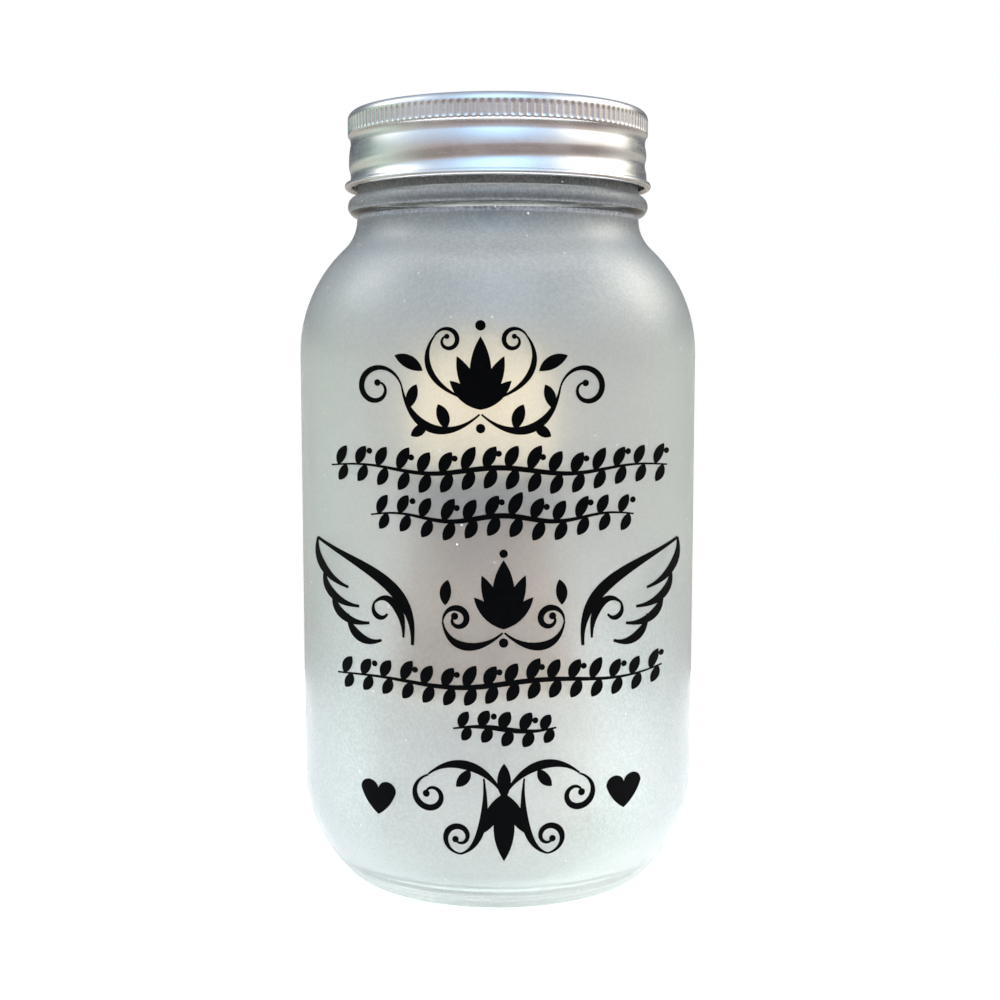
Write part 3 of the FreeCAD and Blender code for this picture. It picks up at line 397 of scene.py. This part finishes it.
def screw_band():
    """The band turned from its section, with pressed flutes and the thread's rolled groove."""
    count = FLUTES * STEPS_PER_FLUTE
    rows = band_rows()
    size = len(rows)
    points, faces = [], []
    for index in range(count):
        angle = math.tau * index / count
        rib = ((1 + math.cos(FLUTES * angle)) / 2) ** FLUTE_SHARPNESS
        turn = ((angle + math.pi / 2) / math.tau + 0.5) % 1 - 0.5
        for radius, height, flute, threaded in rows:
            groove = groove_share(height, turn) if threaded else 0.0
            radius -= FLUTE_DEPTH * flute * rib + GROOVE_DEPTH * groove
            points.append((radius * math.cos(angle), radius * math.sin(angle), height))
    for index in range(count):
        here, there = index * size, (index + 1) % count * size
        for row in range(size):
            following = (row + 1) % size
            faces.append((here + row, here + following, there + following, there + row))
    mesh = bpy.data.meshes.new("threaded_band")
    mesh.from_pydata(points, [], faces)
    mesh.polygons.foreach_set("use_smooth", [True] * len(faces))
    band = bpy.data.objects.new("threaded_band", mesh)
    bpy.context.scene.collection.objects.link(band)
    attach(band, "band")
    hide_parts("screw_band")
    return band


def finish_metals():
    lid = satin_metal("lid_metal", (0.87, 0.86, 0.85), 0.27, 0.006 * MM, streaks=0.03)
    screw_band().data.materials.append(lid)
    wear("lid_disc", satin_metal("disc_metal", (0.77, 0.78, 0.79), 0.24, 0.004 * MM, 0.05))
    spring = satin_metal("spring_steel", (0.62, 0.62, 0.60), 0.22, 0.003 * MM, 0.04)
    for name in ("contact_springs", "top_contact", "door_contact"):
        wear(name, spring)
    wear("base_screws", satin_metal("screw_steel", (0.48, 0.48, 0.50), 0.32, 0.004 * MM))


# ---------------------------------------------------------------- ink, plastics and rubber

def ink():
    """Screen-printed black ink: dense, faintly uneven, with a soft sheen."""
    material, tree, shader, _ = surface("black_ink", Specular_IOR_Level=0.04)
    film = tree.noise(700, detail=4, roughness=0.65)
    tree.feed(shader.inputs["Base Color"],
              tree.ramp(film, [(0.3, (0.0004, 0.0004, 0.0004)), (0.75, (0.002, 0.002, 0.0025))]))
    tree.feed(shader.inputs["Roughness"], tree.fade(film, 0.3, 0.7, 0.52, 0.66))
    tree.feed(shader.inputs["Normal"], tree.bump(film, 0.02 * MM))
    return material


def moulded(name, colour, roughness=0.5, mottle=0.06, texture=0.02, streak=None, sheen=0.0):
    """Moulded plastic: faint mottling, a fine spark-eroded texture and optional streaks."""
    material, tree, shader, _ = surface(name, IOR=1.49, Coat_Weight=sheen, Coat_Roughness=0.2)
    tone = tree.noise(120, detail=4, roughness=0.6)
    dark = tuple(part * (1 - mottle) for part in colour)
    light = tuple(min(1.0, part * (1 + mottle)) for part in colour)
    shade = tree.ramp(tone, [(0.3, dark), (0.7, light)])
    if streak is not None:
        run = tree.noise(260, detail=3, stretch=(1, 1, 0.06), roughness=0.6)
        shade = tree.mix(tree.fade(run, 0.42, 0.72, 0, 0.75), shade, streak)
    tree.feed(shader.inputs["Base Color"], shade)
    tree.feed(shader.inputs["Roughness"],
              tree.fade(tone, 0.3, 0.7, roughness - 0.06, roughness + 0.06))
    tree.feed(shader.inputs["Normal"], tree.bump(tree.noise(2600, detail=3), texture * MM))
    return material


def rubber():
    material, tree, shader, _ = surface("gasket_rubber", IOR=1.45)
    bloom = tree.noise(300, detail=4)
    tree.feed(shader.inputs["Base Color"],
              tree.ramp(bloom, [(0.3, (0.66, 0.63, 0.56)), (0.75, (0.77, 0.75, 0.70))]))
    tree.feed(shader.inputs["Roughness"], tree.fade(bloom, 0.3, 0.7, 0.62, 0.8))
    tree.feed(shader.inputs["Normal"], tree.bump(bloom, 0.05 * MM))
    return material


GLOBE_COLOUR = (1.0, 0.64, 0.22)
GLOBE_GLOW = 0.42


def globe_diffuser():
    """The frosted warm globe: brightest round its middle, darker where it meets the collar."""
    material, tree, shader, _ = surface("globe_diffuser", IOR=1.49, Roughness=0.55)
    height = tree.split(tree.place())[2]
    cloud = tree.noise(60, detail=3)
    tree.feed(shader.inputs["Base Color"],
              tree.ramp(cloud, [(0.3, (0.93, 0.84, 0.68)), (0.7, (0.97, 0.90, 0.76))]))
    low = tree.fade(height, globe_low.z + 4 * MM, globe_low.z + 20 * MM, 0.35, 1)
    top = tree.fade(height, globe_high.z - 16 * MM, globe_high.z, 1, 0.8)
    glow = tree.maths("MULTIPLY", tree.maths("MULTIPLY", low, top),
                      tree.fade(cloud, 0.3, 0.7, 0.9 * GLOBE_GLOW, 1.1 * GLOBE_GLOW))
    tree.feed(shader.inputs["Emission Color"], (*GLOBE_COLOUR, 1))
    tree.feed(shader.inputs["Emission Strength"], glow)
    tree.feed(shader.inputs["Normal"], tree.bump(tree.noise(1800, detail=2), 0.02 * MM))
    return material


def finish_lamp():
    wear("globe", globe_diffuser())
    wear("lid_gasket", rubber())
    wear("foot_housing", moulded("foot_plastic", (0.80, 0.74, 0.68), 0.55, 0.04, 0.03))
    wear("post_sleeve", moulded("post_plastic", (0.42, 0.27, 0.18), 0.5, 0.12, 0.03,
                                streak=(0.60, 0.46, 0.37)))
    wear("lamp_collar", moulded("collar_plastic", (0.26, 0.235, 0.215), 0.35, 0.1, 0.01, sheen=0.3))
    grey = moulded("grey_plastic", (0.30, 0.30, 0.31), 0.5, 0.06, 0.03)
    for name in ("bottom_plate", "battery_door", "battery_holder"):
        wear(name, grey)
    black = moulded("black_plastic", (0.035, 0.035, 0.04), 0.42, 0.1, 0.015)
    for name in ("switch_body", "switch_knob"):
        wear(name, black)


# ---------------------------------------------------------------- battery lamp internals

def cell_sleeve():
    """A plain shrink sleeve with a copper band, and the bare steel of both ends."""
    material, tree, shader, _ = surface("cell_sleeve", IOR=1.5, Coat_Weight=0.5,
                                        Coat_Roughness=0.12)
    cells_low, cells_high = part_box("battery_1")
    height = tree.split(tree.place())[2]
    band = tree.fade(height, cells_high.z - 13 * MM, cells_high.z - 12.6 * MM)
    tone = tree.noise(200, detail=3)
    sleeve = tree.ramp(tone, [(0.3, (0.06, 0.10, 0.17)), (0.7, (0.09, 0.14, 0.22))])
    colour = tree.mix(band, sleeve, (0.66, 0.40, 0.22))
    upper_end = tree.fade(height, cells_high.z - 1.35 * MM, cells_high.z - 1.25 * MM)
    lower_end = tree.fade(height, cells_low.z + 1.15 * MM, cells_low.z + 1.25 * MM, 1, 0)
    bare = tree.maths("MAXIMUM", upper_end, lower_end)
    tree.feed(shader.inputs["Base Color"], tree.mix(bare, colour, (0.70, 0.70, 0.68)))
    tree.feed(shader.inputs["Metallic"], bare)
    tree.feed(shader.inputs["Roughness"], tree.fade(tone, 0.3, 0.7, 0.24, 0.36))
    tree.feed(shader.inputs["Normal"], tree.bump(tone, 0.03 * MM))
    return material


def laminate():
    """Green solder mask over a weave, with tinned tracks."""
    material, tree, shader, _ = surface("board_laminate", IOR=1.5, Coat_Weight=0.4,
                                        Coat_Roughness=0.15)
    x, y, _ = tree.split(tree.place())
    weave = tree.maths("MULTIPLY", tree.maths("SINE", tree.maths("MULTIPLY", x, 9000)),
                       tree.maths("SINE", tree.maths("MULTIPLY", y, 9000)))
    mask = tree.ramp(tree.fade(weave, -1, 1),
                     [(0.2, (0.02, 0.13, 0.06)), (0.8, (0.03, 0.17, 0.08))])
    cells = tree.node("TexVoronoi", {"Vector": tree.place((1, 1, 0)), "Scale": 420},
                      feature="DISTANCE_TO_EDGE")
    track = tree.fade(cells.outputs["Distance"], 0.06, 0.1, 1, 0)
    tree.feed(shader.inputs["Base Color"], tree.mix(track, mask, (0.10, 0.30, 0.14)))
    tree.feed(shader.inputs["Roughness"], tree.fade(weave, -1, 1, 0.32, 0.42))
    tree.feed(shader.inputs["Normal"], tree.bump(track, 0.03 * MM))
    return material


def epoxy_lens():
    """The warm LED's tinted epoxy, lit by the chip inside."""
    material, tree, shader, _ = surface("led_epoxy", IOR=1.53, Roughness=0.12,
                                        Emission_Color=(1.0, 0.72, 0.38, 1))
    haze = tree.noise(900, detail=2)
    tree.feed(shader.inputs["Base Color"],
              tree.ramp(haze, [(0.3, (0.95, 0.72, 0.36)), (0.7, (1.0, 0.84, 0.55))]))
    tree.feed(shader.inputs["Emission Strength"], tree.fade(haze, 0.3, 0.7, 4.0, 5.0))
    return material


def finish_internals():
    sleeve = cell_sleeve()
    for index in (1, 2, 3):
        wear(f"battery_{index}", sleeve)
    wear("circuit_board", laminate())
    wear("board_components", moulded("component_black", (0.03, 0.03, 0.03), 0.38, 0.15, 0.01))
    wear("led", epoxy_lens())
    wear("led_wire_red", moulded("wire_red", (0.50, 0.03, 0.025), 0.38, 0.08, 0.008, sheen=0.2))
    wear("led_wire_black", moulded("wire_black", (0.02, 0.02, 0.022), 0.38, 0.1, 0.008, sheen=0.2))


def finish_prints():
    film = ink()
    for name in nodes:
        if name.startswith("print_"):
            wear(name, film)


# ---------------------------------------------------------------- studio

CAMERA_REACH = 366.0 * MM
CAMERA_HEIGHT = 126.57 * MM
CAMERA_SIDE = 0.52 * MM
CAMERA_PITCH = 5.808              # degrees down
CAMERA_LENS = 54.02
SENSOR_WIDTH = 36.0

# what the glass and the metal reflect and let through, from straight down to straight up:
# brownish ground and low surroundings in front, darker surroundings behind, sky above
GROUND = (0.28, 0.24, 0.22)
FRONT = [(0.30, GROUND), (0.50, (0.36, 0.30, 0.29)), (0.58, (0.52, 0.41, 0.38)),
         (0.64, (0.56, 0.64, 0.78)), (0.74, (0.60, 0.76, 1.0)), (0.97, (0.66, 0.76, 0.90))]
BEHIND = [(0.30, GROUND), (0.47, (0.58, 0.55, 0.50)), (0.51, (0.46, 0.46, 0.43)),
          (0.55, (0.14, 0.15, 0.17)), (0.64, (0.10, 0.11, 0.13)), (0.97, (0.46, 0.56, 0.72))]

# soft patches of light: direction, colour, brightness, and how tight the patch is
PATCHES = (
    ((0.02, -0.70, 0.71), (0.30, 0.62, 1.00), 1.8, 14),     # open sky over the front
    ((0.76, 0.24, 0.55), (1.00, 0.94, 0.81), 4.4, 24),      # low warm sun from the right
    ((0.80, -0.24, 0.50), (1.00, 0.90, 0.70), 1.5, 20),     # the sun's glare, nearer the front
    ((-0.76, 0.16, 0.60), (1.00, 0.98, 0.93), 2.9, 30),     # bright cloud on the left
    ((0.95, 0.25, 0.22), (1.00, 0.97, 0.88), 0.5, 30),      # warm wall on the right
    ((-0.95, 0.10, 0.00), (0.55, 0.88, 0.72), 0.45, 8),     # greenery on the left
)


def make_world():
    """Soft surroundings with patches of light, and plain white to the camera itself."""
    world = bpy.data.worlds.new("studio")
    bpy.context.scene.world = world
    tree = Tree(world)
    way = tree.node("TexCoord").outputs["Generated"]
    _, depth, up = tree.split(way)
    height = tree.fade(up, -1, 1, smooth=False)
    light = tree.mix(tree.fade(depth, -0.3, 0.3),
                     tree.ramp(height, FRONT), tree.ramp(height, BEHIND))
    for direction, colour, strength, tightness in PATCHES:
        along = tree.vector("DOT_PRODUCT", way, Vector(direction).normalized())
        falloff = tree.maths("POWER", tree.maths("MAXIMUM", along, 0), tightness)
        glow = tree.vector("SCALE", tuple(strength * part for part in colour), scale=falloff)
        light = tree.vector("ADD", light, glow)
    seen = tree.node("LightPath").outputs["Is Camera Ray"]
    colour = tree.mix(seen, light, (1.0, 1.0, 1.0))
    background = tree.node("Background", {"Color": colour, "Strength": 1.0})
    tree.node("OutputWorld", {"Surface": background.outputs[0]})


def make_floor():
    """A round pale table, just under the jar, whose edge burns out to the white around it."""
    radius, sides, gap = 230 * MM, 128, 0.05 * MM
    mesh = bpy.data.meshes.new("floor")
    rim = [(radius * math.cos(math.tau * k / sides), radius * math.sin(math.tau * k / sides),
            jar_low.z - gap) for k in range(sides)]
    mesh.from_pydata(rim, [], [range(sides)])
    floor = bpy.data.objects.new("floor", mesh)
    bpy.context.scene.collection.objects.link(floor)
    material, tree, shader, _ = surface("floor_white", Roughness=0.7, Emission_Strength=0.15,
                                        Emission_Color=(1.0, 0.96, 0.93, 1))
    tone = tree.noise(30, detail=2)
    tree.feed(shader.inputs["Base Color"],
              tree.ramp(tone, [(0.3, (0.93, 0.93, 0.93)), (0.7, (0.96, 0.96, 0.96))]))
    mesh.materials.append(material)


def make_overhead_lamp():
    """A wide soft lamp over the jar.  The lid's top reflects the sky, not this lamp."""
    place, aim = Vector((0, 0.05, 1.1)), Vector((0, 0, jar_high.z / 2))
    light = bpy.data.lights.new("overhead", "AREA")
    light.shape, light.size = "DISK", 1.1
    light.energy, light.color = 12.5, (1.0, 0.95, 0.89)
    overhead = bpy.data.objects.new("overhead", light)
    bpy.context.scene.collection.objects.link(overhead)
    overhead.location = place
    overhead.rotation_euler = (aim - place).to_track_quat("-Z", "Y").to_euler()
    overhead.visible_glossy = False


def make_camera():
    lens = bpy.data.cameras.new("camera")
    lens.lens, lens.sensor_width = CAMERA_LENS, SENSOR_WIDTH
    camera = bpy.data.objects.new("camera", lens)
    bpy.context.scene.collection.objects.link(camera)
    camera.location = (CAMERA_SIDE, -CAMERA_REACH, CAMERA_HEIGHT)
    camera.rotation_euler = (math.radians(90 - CAMERA_PITCH), 0, 0)
    lens.clip_start, lens.clip_end = 0.01, 20
    bpy.context.scene.camera = camera


make_camera()
make_world()
make_floor()
make_overhead_lamp()
finish_jar()
finish_prints()
finish_metals()
finish_lamp()
finish_internals()
bpy.context.scene.view_settings.view_transform = "Standard"
